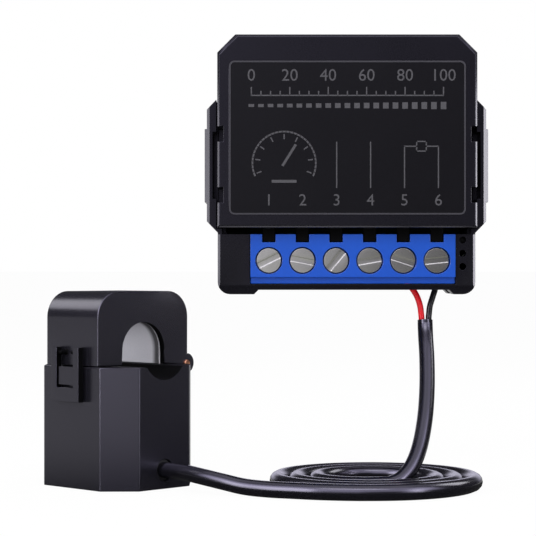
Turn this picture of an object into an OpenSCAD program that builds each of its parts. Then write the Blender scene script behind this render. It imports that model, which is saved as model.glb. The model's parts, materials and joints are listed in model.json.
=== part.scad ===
// Energy monitor module with a hinged split-core current clamp on a coiled lead.
// Millimetres. The origin is the centre of the module's back face, the front faces -Y and +Z is up.

/* [Module] */
// Width of the module across its flanks
module_w = 46.1; // [42:0.1:52]
// Height of the module from its feet to its top
module_h = 46.1; // [45:0.1:52]
// Depth of the module from back face to front face
module_d = 19; // [18.6:0.1:24]
// Thickness of the moulded walls
wall = 1.5; // [1.2:0.1:1.7]
// Depth of the rear housing up to the seam with the cover
seam_d = 9.5; // [8:0.1:11]
// Leg of the chamfer on the top corners
corner = 3.2; // [2:0.1:4]
// Height of the terminal bay, from the feet to the cover
bay_h = 11.85; // [11.6:0.05:13]
// How far the terminal block stands behind the front face
bay_recess = 2.8; // [2.6:0.1:3.2]
// Radius of the outer bottom corners
foot_r = 2.2; // [1:0.1:3]
// How far the feet stand below the bottom wall
foot_h = 0.8; // [0.4:0.1:1.2]
// How far the side clips stand out from the flanks
clip_out = 1.95; // [1.6:0.05:2.6]
// Height of a side clip where it meets the flank
clip_h = 25.6; // [22:0.1:28]
// Depth of the bevel round the front face
bevel = 0.4; // [0.2:0.1:0.6]

/* [Terminals] */
// Width of the housing's post left of the terminal block
post_left = 5.85; // [5:0.05:6]
// Width of the housing's post right of the terminal block
post_right = 3.65; // [3.5:0.05:4]
// Diameter of a terminal screw's head
head_d = 4.4; // [3.6:0.1:4.5]
// Diameter of a terminal screw's shank
shank_d = 2.5; // [2:0.1:2.6]
// Lead of the screw thread for each turn
lead = 0.45; // [0.35:0.05:0.45]
// Diameter of the wire entries
entry_d = 3.2; // [2.8:0.1:3.4]
// Gap for the wire behind the contact strip with the cage open
wire_gap = 2.55; // [2.4:0.05:2.6]

/* [Clamp] */
// Width of the clamp base across latch and hinge sides
base_w = 21.6; // [20:0.1:26]
// Length of the straight part of the latch and hinge sides
base_side = 15; // [14.6:0.1:18]
// Leg of the upright chamfers between the faces of the base
base_chamfer = 4.85; // [4:0.05:6]
// Height of the seam between base and jaw above the floor
split_h = 21.4; // [20.8:0.1:26]
// How far the jaw stands in from the base's latch and hinge sides
jaw_in = 0.1; // [0:0.05:0.2]
// Depth of the jaw along the bore
jaw_d = 13.7; // [13:0.1:14.4]
// Height of the jaw above the seam
jaw_h = 13; // [12.6:0.1:15]
// Radius of the jaw's rounded top edges
jaw_r = 4.6; // [2:0.1:5]
// Diameter of the bore for the measured conductor
bore_d = 10; // [8:0.1:10.4]
// Height of the bore's centre above the seam
bore_rise = 2.6; // [2.4:0.1:3]
// Thickness of the clamp's moulded walls
shell = 1.2; // [1:0.1:1.4]
// Diameter of the hinge pin
pin_d = 1.3; // [1:0.1:1.6]

/* [Lead] */
// Diameter of the lead's sheath
cord_d = 2.8; // [2.4:0.1:2.8]
// Diameter of an insulated core
core_d = 1.1; // [0.9:0.1:1.1]
// Turns of the coil on the floor
coil_turns = 3; // [1:1:3]
// Radius of the coil's outer turn at the lead's centre
coil_r = 18.8; // [17:0.1:20]
// Step inwards for each turn of the coil
coil_step = 3.25; // [3.25:0.05:3.6]

/* [Hidden] */

$fn = 48;
// Overlap that lets a cut pass clean through a face
cut = 0.5;
// Gap between pieces that are only laid together
loose = 0.1;
// Gap between pieces that move past each other
clear = 0.3;
// Radial clearance of a running fit
running = 0.05;
// Thin start of a hull
sliver = 0.01;

// Module levels
top_z = module_h / 2;
foot_z = -module_h / 2;
floor_wall_z = foot_z + foot_h;
cover_z = foot_z + bay_h;
front_y = -module_d;
post_sink = 0.6;
bay_front_y = front_y + bay_recess + post_sink;
bay_gap = 1.1;
bay_top_z = cover_z - bay_gap;
lip_t = 1;
post_edge = 0.45;
sill_edge_h = 1.7;
sill_edge_d = 0.9;
foot_left_l = 6.5;
foot_right_l = 3.85;
clip_taper = 2.8;
clip_bar_h = 13.1;
clip_bar_t = 0.4;
clip_slot_t = 0.9;
clip_slot_h = 12;
clip_gap = 0.25;
clip_edge = 0.9;
clip_sink = 3.5;
clip_front_y = front_y + clip_sink;
clip_back_y = -3;
flank_notch_h = 2.75;
flank_notch_z = 5.4;
flank_notch_t = 1.1;
lip_depth = 2;
label_margin_x = 2.1;
label_top = 4.7;
label_bottom = 2.3;
label_line = 0.3;
label_rise = 0.12;
label_r = 1;

// Board, measured forward from the back face
standoff_h = 1.5;
board_t = 1.6;
board_gap = 0.25;
board_back_y = -wall - standoff_h;
board_front_y = board_back_y - board_t;
board_bottom_z = floor_wall_z + lip_t + loose;
standoff_d = 4;
standoff_inset = 3.4;

// Terminal block and its cages, from the board forward
terminals = 6;
block_end = 0.3;
block_w = module_w - post_left - post_right;
pitch = (block_w - 2 * block_end) / terminals;
row_x = (post_left - post_right) / 2;
block_top_z = bay_top_z;
block_bottom_z = floor_wall_z + lip_t + loose;
block_front_y = front_y + bay_recess;
block_floor = 0.6;
step_h = 1.15;
step_d = 1;
screw_rise = 4.15;
screw_z = block_bottom_z + screw_rise;
partition = 1.1;
chamber_w = pitch - partition;
chamber_back_y = board_front_y - block_floor;
ledge_t = 0.7;
head_t = 1.4;
head_sink = 0.5;
head_gap = 0.2;
pocket_d = head_sink + head_t + loose;
chamber_front_y = block_front_y + pocket_d + ledge_t;
block_floor_h = 1.85;
chamber_bottom_z = block_bottom_z + block_floor_h;
block_roof = 0.85;
chamber_top_z = block_top_z - block_roof;
cage_back_t = 0.7;
cage_front_t = 1.2;
cage_side_t = 0.6;
cage_w = chamber_w - 2 * clear;
cage_h = 4.4;
cage_bottom_z = chamber_bottom_z + clear;
cage_back_y = chamber_back_y - clear;
strip_t = 0.8;
strip_gap = 0.25;
strip_back_y = cage_back_y - cage_back_t - wire_gap;
strip_front_y = strip_back_y - strip_t;
strip_w = cage_w - 2 * cage_side_t - 2 * strip_gap;
cage_inner_front_y = strip_front_y - clear;
leg_t = 0.7;
leg_w = 1.2;
leg_z = chamber_top_z - leg_t - loose;
tail = 0.8;
grip_turns = (wire_gap - core_d - loose) / lead;
entry_y = strip_back_y + entry_d / 2 - loose;
funnel_h = 0.9;
funnel_d = 4.8;
block_notch_w = 2.4;
block_notch_drop = 1.45;
block_notch_depth = 1.6;
tab_sink = 0.3;
slot_w = 1;
slot_depth = 0.8;
slot_turns = [26, -11, 50, 10, -18, 6];
clamped = [false, false, false, false, true, true];

// Sight holes in the right post, top to bottom
sight_d = 1.25;
sight_step = 2.37;
sight_drop = 2.15;
sight_in = 1.35;
sight_x = row_x + block_w / 2 + sight_in;
sight_w = 1.6;
sight_part_w = 1.1;
post_front_t = 1.2;
plunger_d = sight_d - 4 * running;
plunger_flange_d = 1.5;
plunger_flange_t = 0.8;
plunger_sink = 0.9;
plunger_travel = 0.4;
switch_t = 1.9;
switch_l = 2.1;
light_t = 0.9;
light_l = 1.4;

// Parts on the board, each [middle x, middle height over the deck, width, height, how far it stands off],
// with its x from the flank that it stands near. The deck is the lowest level under the cover
deck_z = cover_z + 2 * wall + clear;
left_x = -module_w / 2;
right_x = module_w / 2;
transformer_at = [left_x + 13.55, 12.4, 13, 11.5, 10];
wireless_at = [right_x - 11.55, 20, 14.5, 17, 1];
shield_at = [right_x - 11.55, 17.6, 12.5, 10.5, 2.4];
bridge_at = [left_x + 8.05, 3.4, 6.4, 4.6, 2.5];
meter_at = [4, 4, 6.2, 5, 1.6];
filter_at = [left_x + 13.55, 23, 13, 5.5, 9.5];
bulk_at = [right_x - 7.55, 5];
bulk_d = 8;
bulk_l = 11;
fuse_at = [left_x + 17.05, 2.6];
fuse_d = 3;
fuse_l = 7.5;
yoke_t = 2.2;
small_at = [[1, 9], [4, 9], [7, 9], [1, 12], [1, 15], [1, 18], [1, 21]];
small_size = [1.6, 0.9, 0.8];

// Clamp place: its upright middle on the floor and its turn about Z
floor_drop = 33.8;
floor_z = foot_z - floor_drop;
clamp_x = -40.9;
clamp_y = -15.4;
clamp_turn = 46;
base_d = base_side + 2 * base_chamfer;
jaw_w = base_w - 2 * jaw_in;
seam = 0.1;
bore_h = split_h + bore_rise;
jaw_top_h = split_h + jaw_h;
hinge_r = 1.8;
hinge_in = 0.4;
hinge_x = base_w / 2 - hinge_in;
knuckle_l = 6.4;
core_w = 2 * (hinge_x - hinge_r - clear - loose);
core_d_y = jaw_d - 2 * shell - 2 * loose;
core_leg = (core_w - bore_d) / 2 - loose;
spring_room = 0.9;
core_top_h = jaw_top_h - shell - spring_room;
spring_t = 0.3;
spring_rise = 0.55;
yoke_h = 8.4;
yoke_l = 3.4;
saddle_t = 0.9;
plate_t = 1.2;
flange_t = 0.7;
bobbin_t = 0.8;
bobbin_w = bore_d;
winding_out = 3.4;
latch_w = 7.2;
latch_t = 1.3;
latch_leg = 1.4;
latch_drop = 6.2;
latch_rise = 3.3;
latch_bottom_h = split_h - latch_drop;
latch_top_h = split_h + latch_rise;
latch_bar = 2.5;
latch_pin_d = 0.6;
latch_boss_t = 0.7;
latch_eye = 0.9;
latch_inner_x = -base_w / 2 - clear;
latch_pin_h = latch_top_h - latch_eye;
latch_pin_x = latch_inner_x - latch_t / 2;
catch_w = 3.9;
catch_l = 3.1;
catch_out = 1.25;
exit_h = 3.3;
gland_r = 1.9;
gland_sink = 0.5;
gland_l = 3.4;
gland_y = -base_d / 2 + gland_sink;
gland_flange_r = 2.7;
gland_flange_t = 0.8;

// Lead route on the floor, [x, y, height above the floor], after the straight run out of the gland
route_from_clamp = [
    [-28, -27.9, 3.2], [-25, -30.6, 2.8], [-21.5, -32.8, 2.2], [-18, -34.6, 1.6], [-14, -36.6, 1.4],
    [-10, -38.4, 1.4], [-6, -40, 1.4], [-2, -41, 1.4]
];
coil_x = 4;
coil_y = -22.5;
// Routes up to the terminals, each point [share of the way across, y, height above the floor]
route_riser = [
    [0.453, -28.6, 2.2], [0.642, -26.8, 4.2], [0.792, -24, 7.4], [0.906, -20.4, 12], [0.972, -16.4, 17],
    [1, -12.6, 22], [1, -9.8, 26], [1, -8.8, 28]
];
sheath_side = -1.5;
sheath_end = [terminal_x(terminals) + sheath_side, -8.6, 29];
core_split = 0.65;
core_side = 0.4;
route_red = [
    [0.015, -8.5, 30], [0.072, -8.4, 31.6], [0.217, -8.2, 33.2], [0.45, -8, 34.6], [0.71, -7.9, 35.7],
    [0.913, -7.9, 36.7], [1, -8.1, 37.4]
];
route_black = [
    [0.04, -8.5, 30], [0.2, -8.4, 31.6], [0.6, -8.2, 33.2], [1, -8, 34.8], [1.08, -7.9, 36], [1, -8.1, 37.4]
];
lead_in = 0.5;
tube_sides = 8;
coil_sides = 6;
coil_rings = 24;

// Shared shapes

function terminal_x(i) = row_x + (i - (terminals + 1) / 2) * pitch;

function sight_z(k) = cover_z - sight_drop - k * sight_step;

function cage_shift(i) = clamped[i - 1] ? grip_turns * lead : 0;

function arc(c, r, from, to, steps = 6) =
    [for (k = [0:steps]) c + r * [cos(from + (to - from) * k / steps), sin(from + (to - from) * k / steps)]];

// Outline of the module seen from the front
function module_outline() = let (
    hw = module_w / 2,
    hh = module_h / 2,
    r = foot_r
) concat(
    arc([-hw + r, -hh + r], r, 180, 270),
    [[-hw + foot_left_l, -hh], [-hw + foot_left_l + foot_h, -hh + foot_h]],
    [[hw - foot_right_l - foot_h, -hh + foot_h], [hw - foot_right_l, -hh]],
    arc([hw - r, -hh + r], r, 270, 360),
    [[hw, hh - corner], [hw - corner, hh], [-hw + corner, hh], [-hw, hh - corner]]
);

// Outline of the cover, from its lower edge to the top
function cover_outline(inset = 0) = let (
    hw = module_w / 2 - inset,
    hh = module_h / 2 - inset,
    low = cover_z + inset
) [[-hw, low], [hw, low], [hw, hh - corner], [hw - corner, hh], [-hw + corner, hh], [-hw, hh - corner]];

// Extrudes an outline drawn in X and Z from one depth to another
module slab(y_front, y_back) {
    translate([0, y_back, 0])
        rotate([90, 0, 0])
            linear_extrude(y_back - y_front)
                children();
}

// Box from its two corners
module block(low, high) {
    translate(low)
        cube(high - low);
}

// Wedge that takes the edge off the corner of a plan, with a leg along each axis
module edge_wedge(x, y, leg_x, leg_y) {
    polygon([[x + leg_x, y - leg_y], [x + leg_x, y + 2 * leg_y], [x - 2 * leg_x, y - leg_y]]);
}

// Round bar along Y between two depths
module bar_y(x, z, y_front, y_back, d) {
    translate([x, y_back, z])
        rotate([90, 0, 0])
            cylinder(h = y_back - y_front, d = d);
}

// Round bar along Z between two heights
module bar_z(x, y, z_low, z_high, d) {
    translate([x, y, z_low])
        cylinder(h = z_high - z_low, d = d);
}

// Rectangle with round corners, about the origin
module round_rect(w, h, r) {
    square([w - 2 * r, h], center = true);
    square([w, h - 2 * r], center = true);
    for (sx = [-1, 1], sz = [-1, 1])
        translate([sx * (w / 2 - r), sz * (h / 2 - r)])
            circle(r);
}

// Part that stands on the board's front face
module on_board(at) {
    z = deck_z + at[1];
    block([at[0] - at[2] / 2, board_front_y - at[4], z - at[3] / 2],
          [at[0] + at[2] / 2, board_front_y, z + at[3] / 2]);
}

// Module pieces

// The clip stands clear of the cover's flank and runs into the frame below it
module side_clip() {
    half = clip_h / 2;
    out = module_w / 2 + clip_out;
    root = module_w / 2 - wall / 2;
    flank = module_w / 2 + clip_gap;
    outline = [[root, -half], [out, -half + clip_taper], [out, half - clip_taper], [root, half]];
    difference() {
        union() {
            slab(-seam_d, clip_back_y)
                polygon(outline);
            slab(clip_front_y, -seam_d)
                difference() {
                    polygon(outline);
                    translate([root - cut, cover_z - loose])
                        square([flank - root + cut, clip_h]);
                    translate([module_w / 2, -clip_slot_h / 2])
                        square([clip_slot_t, clip_slot_h]);
                }
            slab(clip_front_y, clip_back_y)
                translate([out - clip_bar_t, -clip_bar_h / 2])
                    square([2 * clip_bar_t, clip_bar_h]);
        }
        translate([0, 0, -half])
            linear_extrude(clip_h)
                edge_wedge(out + clip_bar_t, clip_front_y, clip_edge, clip_edge);
    }
}

module standoffs() {
    x = module_w / 2 - wall - standoff_inset;
    for (sx = [-1, 1], z = [board_bottom_z + standoff_inset, top_z - wall - standoff_inset])
        bar_y(sx * x, z, board_back_y, -wall / 2, standoff_d);
}

// Frame round the terminals: its front edges are taken off, and its outer walls rise to the cover
module bay_frame() {
    difference() {
        slab(bay_front_y, 0)
            intersection() {
                polygon(module_outline());
                translate([-module_w, foot_z - cut])
                    square([2 * module_w, bay_top_z - foot_z + cut]);
            }
        for (side = [0, 1])
            mirror([side, 0, 0])
                translate([0, 0, foot_z - cut])
                    linear_extrude(module_h)
                        edge_wedge(module_w / 2, bay_front_y, post_edge, post_edge);
        translate([-module_w, 0, 0])
            rotate([0, 90, 0])
                linear_extrude(2 * module_w)
                    edge_wedge(-foot_z, bay_front_y, sill_edge_h, sill_edge_d);
    }
    for (side = [0, 1])
        mirror([side, 0, 0])
            block([module_w / 2 - wall, bay_front_y + post_edge, bay_top_z - cut],
                  [module_w / 2, -seam_d + cut, cover_z - loose]);
}

module rear_housing() color([0.11, 0.11, 0.13]) {
    block_left = row_x - block_w / 2 - loose;
    block_right = row_x + block_w / 2 + loose;
    difference() {
        union() {
            slab(-seam_d, 0)
                polygon(module_outline());
            bay_frame();
            for (side = [0, 1])
                mirror([side, 0, 0])
                    side_clip();
        }
        difference() {
            slab(bay_front_y - cut, -wall)
                translate([-module_w / 2 + wall, board_bottom_z - loose])
                    square([module_w - 2 * wall, top_z - wall - board_bottom_z + loose]);
            slab(bay_front_y - 2 * cut, -wall + cut)
                for (sx = [-1, 1])
                    polygon([[sx * module_w / 2, top_z], [sx * (module_w / 2 - wall - corner), top_z],
                             [sx * module_w / 2, top_z - wall - corner]]);
            block([-module_w / 2, bay_front_y, foot_z], [block_left, board_front_y - loose, bay_top_z]);
            block([block_right, bay_front_y, foot_z], [module_w / 2, board_front_y - loose, bay_top_z]);
        }
        block([sight_x - sight_w / 2 - loose, bay_front_y + post_front_t, board_bottom_z + wall],
              [sight_x + sight_w / 2 + loose, -wall - standoff_h, cover_z]);
        for (k = [0:2])
            bar_y(sight_x, sight_z(k), bay_front_y - cut, bay_front_y + post_front_t + cut, sight_d);
        block([block_left, entry_y - funnel_d / 2, foot_z - cut],
              [block_right, entry_y + funnel_d / 2, board_bottom_z + cut]);
    }
    standoffs();
}

module front_cover() color([0.13, 0.13, 0.15]) {
    skirt = front_y + bevel;
    difference() {
        union() {
            slab(skirt, -seam_d)
                polygon(cover_outline());
            hull() {
                slab(front_y, skirt)
                    polygon(cover_outline(bevel));
                slab(skirt - sliver, skirt)
                    polygon(cover_outline());
            }
            slab(-seam_d - wall, -seam_d + lip_depth)
                polygon(cover_outline(wall + loose));
        }
        slab(front_y + wall, -seam_d + lip_depth + cut)
            polygon(cover_outline(2 * wall));
        for (sx = [-1, 1], sz = [-1, 1])
            translate([sx * (module_w - flank_notch_t + cut) / 2, 0, sz * flank_notch_z])
                block([-(flank_notch_t + cut) / 2, front_y - cut, -flank_notch_h / 2],
                      [(flank_notch_t + cut) / 2, -seam_d - wall, flank_notch_h / 2]);
    }
    label_frame();
    cover_tabs();
}

// Fingers that key the cover into the block's notches
module cover_tabs() {
    half = block_notch_w / 2 - loose;
    for (i = [1:terminals])
        translate([terminal_x(i), 0, 0])
            block([-half, block_front_y + tab_sink, block_top_z - block_notch_drop + loose],
                  [half, block_front_y + block_notch_depth - loose, cover_z + wall]);
}

// Fine raised line round the label panel
module label_frame() {
    w = module_w - 2 * label_margin_x;
    h = top_z - label_top - cover_z - label_bottom;
    slab(front_y - label_rise, front_y + wall / 2)
        translate([0, cover_z + label_bottom + h / 2])
            difference() {
                round_rect(w, h, label_r);
                round_rect(w - 2 * label_line, h - 2 * label_line, label_r - label_line);
            }
}

module main_board() color([0.05, 0.3, 0.16]) {
    hw = module_w / 2 - wall - board_gap;
    high = top_z - wall - board_gap;
    slab(board_front_y, board_back_y)
        difference() {
            polygon([[-hw, board_bottom_z], [hw, board_bottom_z], [hw, high - corner],
                     [hw - corner, high], [-hw + corner, high], [-hw, high - corner]]);
            for (i = [1:terminals])
                translate([terminal_x(i) - leg_w / 2 - loose, leg_z - loose])
                    square([leg_w + 2 * loose, leg_t + 2 * loose]);
        }
}

module terminal_block() color([0.1, 0.3, 0.78])
    difference() {
        block([row_x - block_w / 2, block_front_y, block_bottom_z],
              [row_x + block_w / 2, board_front_y, block_top_z]);
        block([row_x - block_w / 2 - cut, block_front_y - cut, block_bottom_z - cut],
              [row_x + block_w / 2 + cut, block_front_y + step_d, block_bottom_z + step_h]);
        for (i = [1:terminals])
            translate([terminal_x(i), 0, 0])
                terminal_cell();
    }

// Everything cut from the block for one terminal
module terminal_cell() {
    bar_y(0, screw_z, block_front_y - cut, block_front_y + pocket_d, head_d + 2 * head_gap);
    bar_y(0, screw_z, block_front_y, chamber_front_y + cut, shank_d + 2 * running);
    block([-chamber_w / 2, chamber_front_y, chamber_bottom_z],
          [chamber_w / 2, chamber_back_y, chamber_top_z]);
    block([-leg_w / 2 - loose, chamber_back_y - cut, leg_z - loose],
          [leg_w / 2 + loose, board_front_y + cut, leg_z + leg_t + loose]);
    bar_z(0, entry_y, block_bottom_z - cut, chamber_bottom_z + cut, entry_d);
    translate([0, entry_y, block_bottom_z])
        cylinder(h = funnel_h, d1 = funnel_d, d2 = entry_d);
    block([-block_notch_w / 2, block_front_y - cut, block_top_z - block_notch_drop],
          [block_notch_w / 2, block_front_y + block_notch_depth, block_top_z + cut]);
}

// The head sits in its pocket and the tip bears on the contact strip
module terminal_screw(i) color([0.72, 0.72, 0.72])
    translate([terminal_x(i), 0, screw_z])
        difference() {
            union() {
                bar_y(0, 0, block_front_y + head_sink, block_front_y + head_sink + head_t, head_d);
                bar_y(0, 0, block_front_y + head_sink, strip_front_y - running, shank_d);
            }
            rotate([0, -slot_turns[i - 1], 0])
                block([-head_d, block_front_y, -slot_w / 2],
                      [head_d, block_front_y + head_sink + slot_depth, slot_w / 2]);
        }

// Square loop that the screw draws forward to grip the wire
module terminal_cage(i) color([0.78, 0.74, 0.62])
    translate([terminal_x(i), -cage_shift(i), 0])
        difference() {
            block([-cage_w / 2, cage_inner_front_y - cage_front_t, cage_bottom_z],
                  [cage_w / 2, cage_back_y, cage_bottom_z + cage_h]);
            block([-cage_w / 2 + cage_side_t, cage_inner_front_y, cage_bottom_z - cut],
                  [cage_w / 2 - cage_side_t, cage_back_y - cage_back_t, cage_bottom_z + cage_h + cut]);
            bar_y(0, screw_z, cage_inner_front_y - cage_front_t - cut, cage_inner_front_y + cut,
                  shank_d + 2 * running);
        }

// One bent strip for each terminal, soldered through the board
module contact_strips() color([0.8, 0.62, 0.25])
    for (i = [1:terminals])
        translate([terminal_x(i), 0, 0]) {
            block([-strip_w / 2, strip_front_y, cage_bottom_z], [strip_w / 2, strip_back_y, leg_z + leg_t]);
            block([-leg_w / 2, strip_front_y, leg_z], [leg_w / 2, board_back_y + tail, leg_z + leg_t]);
        }

module wireless_board() color([0.08, 0.2, 0.3])
    on_board(wireless_at);

module wireless_shield() color([0.75, 0.76, 0.78])
    translate([0, -wireless_at[4], 0])
        on_board(shield_at);

// Window in the transformer's core on one side of its middle limb, drawn in by an inset
module transformer_window(side, y_front, y_back, inset) {
    x = transformer_at[0];
    z = deck_z + transformer_at[1] + side * (transformer_at[3] / 2 - yoke_t);
    half_w = transformer_at[2] / 2 - yoke_t - inset;
    half_h = yoke_t / 2 - inset;
    block([x - half_w, y_front, z - half_h], [x + half_w, y_back, z + half_h]);
}

module transformer_core() color([0.2, 0.2, 0.21])
    difference() {
        on_board(transformer_at);
        for (side = [-1, 1])
            transformer_window(side, board_front_y - transformer_at[4] - cut, board_front_y + cut, 0);
    }

module transformer_winding() color([0.85, 0.72, 0.1])
    for (side = [-1, 1])
        transformer_window(side, board_front_y - transformer_at[4] + yoke_t, board_front_y, loose);

module bulk_capacitor() color([0.12, 0.12, 0.2])
    bar_y(bulk_at[0], deck_z + bulk_at[1], board_front_y - bulk_l, board_front_y, bulk_d);

module filter_capacitor() color([0.8, 0.6, 0.1])
    on_board(filter_at);

module fusible_resistor() color([0.35, 0.6, 0.45])
    translate([fuse_at[0] - fuse_l / 2, board_front_y - fuse_d / 2, deck_z + fuse_at[1]])
        rotate([0, 90, 0])
            cylinder(h = fuse_l, d = fuse_d);

module bridge_rectifier() color([0.1, 0.1, 0.1])
    on_board(bridge_at);

module metering_chip() color([0.1, 0.1, 0.1])
    on_board(meter_at);

module small_parts() color([0.5, 0.4, 0.3])
    for (at = small_at)
        on_board([at[0], at[1], small_size[0], small_size[1], small_size[2]]);

module reset_switch() color([0.6, 0.6, 0.6])
    on_board([sight_x, sight_z(0) - deck_z, sight_part_w, switch_l, switch_t]);

module reset_plunger() color([0.2, 0.2, 0.22]) {
    tip_y = board_front_y - switch_t - plunger_travel - running;
    flange_y = bay_front_y + post_front_t + loose;
    bar_y(sight_x, sight_z(0), bay_front_y + plunger_sink, tip_y, plunger_d);
    bar_y(sight_x, sight_z(0), flange_y, flange_y + plunger_flange_t, plunger_flange_d);
}

module status_light() color([0.8, 0.9, 0.8])
    on_board([sight_x, sight_z(1) - deck_z, sight_part_w, light_l, light_t]);

// Clamp pieces, drawn square to the clamp with its front at -Y and the floor at Z 0

function at_clamp(p) = [
    clamp_x + p[0] * cos(clamp_turn) - p[1] * sin(clamp_turn),
    clamp_y + p[0] * sin(clamp_turn) + p[1] * cos(clamp_turn),
    floor_z + p[2]
];

module on_clamp() {
    translate([clamp_x, clamp_y, floor_z])
        rotate([0, 0, clamp_turn])
            children();
}

// Plan of the base with its chamfered uprights, drawn in by an inset
module base_plan(inset = 0) {
    hw = base_w / 2 - inset;
    hd = base_d / 2 - inset;
    c = base_chamfer - inset * (2 - sqrt(2));
    polygon([[-hw, -hd + c], [-hw + c, -hd], [hw - c, -hd], [hw, -hd + c],
             [hw, hd - c], [hw - c, hd], [-hw + c, hd], [-hw, hd - c]]);
}

module hinge_bar(from, to, d) {
    bar_y(hinge_x, split_h, from, to, d);
}

module clamp_base() color([0.12, 0.12, 0.14])
    on_clamp() {
        difference() {
            union() {
                linear_extrude(split_h - seam)
                    base_plan();
                hinge_bar(-knuckle_l / 2 + loose, knuckle_l / 2 - loose, 2 * hinge_r);
            }
            difference() {
                translate([0, 0, -cut])
                    linear_extrude(split_h - shell + cut)
                        base_plan(shell);
                bar_y(0, bore_h, -base_d, base_d, bore_d + 2 * saddle_t);
            }
            bar_y(0, bore_h, -base_d, base_d, bore_d);
            for (sx = [-1, 1])
                translate([sx * (core_w - core_leg) / 2, 0, 0])
                    block([-core_leg / 2 - loose, -core_d_y / 2 - loose, plate_t],
                          [core_leg / 2 + loose, core_d_y / 2 + loose, split_h + cut]);
            for (side = [0, 1])
                mirror([0, side, 0])
                    hinge_bar(knuckle_l / 2 - loose, jaw_d / 2 + clear, 2 * (hinge_r + clear));
            hinge_bar(-base_d, base_d, pin_d);
            bar_y(0, exit_h, -base_d / 2 - cut, -base_d / 2 + shell + cut, 2 * (gland_r + running));
        }
        block([-base_w / 2 - catch_out, -catch_w / 2, split_h - seam - catch_l],
              [-base_w / 2 + shell / 2, catch_w / 2, split_h - seam]);
    }

module base_plate() color([0.1, 0.1, 0.12])
    on_clamp()
        linear_extrude(plate_t)
            base_plan(shell + loose / 2);

module jaw_profile() {
    hw = jaw_w / 2;
    low = split_h + seam;
    polygon(concat(
        [[-hw, low], [hw, low]],
        arc([hw - jaw_r, jaw_top_h - jaw_r], jaw_r, 0, 90, 10),
        arc([-hw + jaw_r, jaw_top_h - jaw_r], jaw_r, 90, 180, 10)
    ));
}

// Opening of the jaw: a round arch with straight sides down to the seam
module bore_arch(from, to, d) {
    bar_y(0, bore_h, from, to, d);
    block([-d / 2, from, split_h - cut], [d / 2, to, bore_h]);
}

module clamp_jaw() color([0.12, 0.12, 0.14])
    on_clamp()
        difference() {
            union() {
                difference() {
                    slab(-jaw_d / 2, jaw_d / 2)
                        jaw_profile();
                    block([-core_w / 2 - loose, -core_d_y / 2 - loose, split_h - cut],
                          [core_w / 2 + loose, core_d_y / 2 + loose, jaw_top_h - shell]);
                    bore_arch(-jaw_d, jaw_d, bore_d);
                    hinge_bar(-knuckle_l / 2, knuckle_l / 2, 2 * (hinge_r + clear));
                }
                for (side = [0, 1])
                    mirror([0, side, 0])
                        hinge_bar(knuckle_l / 2, jaw_d / 2, 2 * hinge_r);
                latch_bosses();
            }
            hinge_bar(-jaw_d, jaw_d, pin_d + 2 * running);
        }

// Ears on the jaw with stub pins that the loop's legs turn on
module latch_bosses() {
    inner = latch_w / 2 - latch_leg - clear;
    for (side = [0, 1])
        mirror([0, side, 0]) {
            block([latch_pin_x - latch_pin_d / 2, inner - latch_boss_t, latch_pin_h - latch_pin_d / 2],
                  [-jaw_w / 2 + shell / 2, inner, latch_pin_h + latch_pin_d / 2]);
            bar_y(latch_pin_x, latch_pin_h, inner - latch_boss_t, latch_w / 2, latch_pin_d);
        }
}

// Loop that hangs from the jaw and hooks under the catch
module latch_loop() color([0.14, 0.14, 0.16])
    on_clamp()
        difference() {
            block([latch_inner_x - latch_t, -latch_w / 2, latch_bottom_h],
                  [latch_inner_x, latch_w / 2, latch_top_h]);
            block([latch_inner_x - latch_t - cut, -latch_w / 2 + latch_leg, latch_bottom_h + latch_bar],
                  [latch_inner_x + cut, latch_w / 2 - latch_leg, latch_top_h + cut]);
            bar_y(latch_pin_x, latch_pin_h, -latch_w, latch_w, latch_pin_d + 2 * running);
        }

module hinge_pin() color([0.75, 0.45, 0.3])
    on_clamp()
        hinge_bar(-jaw_d / 2 - clear, jaw_d / 2 + clear, pin_d);

module upper_core() color([0.55, 0.55, 0.58])
    on_clamp()
        difference() {
            block([-core_w / 2, -core_d_y / 2, split_h + running], [core_w / 2, core_d_y / 2, core_top_h]);
            bore_arch(-jaw_d, jaw_d, bore_d + 2 * loose);
        }

module lower_core() color([0.4, 0.4, 0.42])
    on_clamp() {
        for (sx = [-1, 1])
            translate([sx * (core_w - core_leg) / 2, 0, 0])
                block([-core_leg / 2, -core_d_y / 2, yoke_h],
                      [core_leg / 2, core_d_y / 2, split_h - running]);
        block([-core_w / 2, -core_d_y / 2, yoke_h], [core_w / 2, core_d_y / 2, yoke_h + yoke_l]);
    }

// Bowed leaf that presses the upper core towards the seam
module core_spring() color([0.7, 0.7, 0.7])
    on_clamp()
        slab(-core_d_y / 4, core_d_y / 4)
            translate([0, core_top_h]) {
                half = core_w / 3;
                bow = (half * half + spring_rise * spring_rise) / (2 * spring_rise);
                intersection() {
                    translate([0, spring_rise + loose - bow])
                        difference() {
                            circle(bow + spring_t - loose, $fn = 180);
                            circle(bow - loose, $fn = 180);
                        }
                    translate([-half, 0])
                        square([2 * half, 2 * spring_rise + spring_t]);
                }
            }

module spool_ring(out, width) {
    block([-width / 2, -core_d_y / 2 - out, yoke_h - out],
          [width / 2, core_d_y / 2 + out, yoke_h + yoke_l + out]);
}

module bobbin() color([0.85, 0.85, 0.8])
    on_clamp()
        difference() {
            union() {
                spool_ring(bobbin_t, bobbin_w);
                for (sx = [-1, 1])
                    translate([sx * (bobbin_w - flange_t) / 2, 0, 0])
                        spool_ring(winding_out, flange_t);
            }
            spool_ring(loose, 2 * bobbin_w);
        }

module winding() color([0.72, 0.36, 0.16])
    on_clamp()
        difference() {
            spool_ring(winding_out - flange_t / 2, bobbin_w - 2 * flange_t - 2 * loose);
            spool_ring(bobbin_t + loose, 2 * bobbin_w);
        }

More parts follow.
